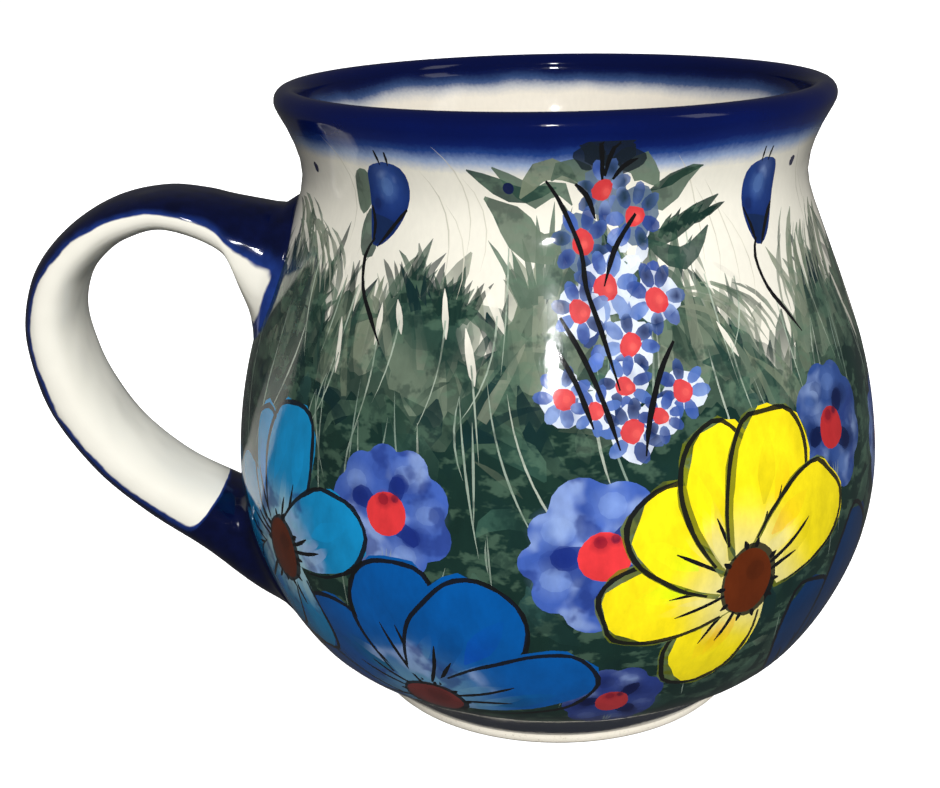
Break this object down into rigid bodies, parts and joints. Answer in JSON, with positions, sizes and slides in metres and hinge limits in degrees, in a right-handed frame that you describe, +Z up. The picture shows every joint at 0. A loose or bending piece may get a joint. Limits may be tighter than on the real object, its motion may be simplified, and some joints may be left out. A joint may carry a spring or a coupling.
{
  "type": "mug",
  "caption": "Round-bellied stoneware drinking mug with a flared lip, a foot ring and a looped strap handle, glazed and hand-painted with flowers.",
  "frame": {"origin": "on the table plane, under the middle of the mug's bounding box; the pot's own axis stands 16.65 mm along +X from it", "axes": "+Z up out of the mouth; +X along the mug's length, with the handle at the -X end; +Y completes the right-handed frame"},
  "size_m": [0.1381, 0.1048, 0.1],
  "materials": {
    "painted_glaze": "polished",
    "handle_glaze": "polished",
    "cobalt_glaze": "polished",
    "bare_clay": "matte"
  },
  "bodies": {
    "root": {"body": "painted_glaze", "foot_ring": "bare_clay", "handle": "handle_glaze", "upper_handle_joint": "cobalt_glaze", "lower_handle_joint": "cobalt_glaze"}
  },
  "joints": []
}
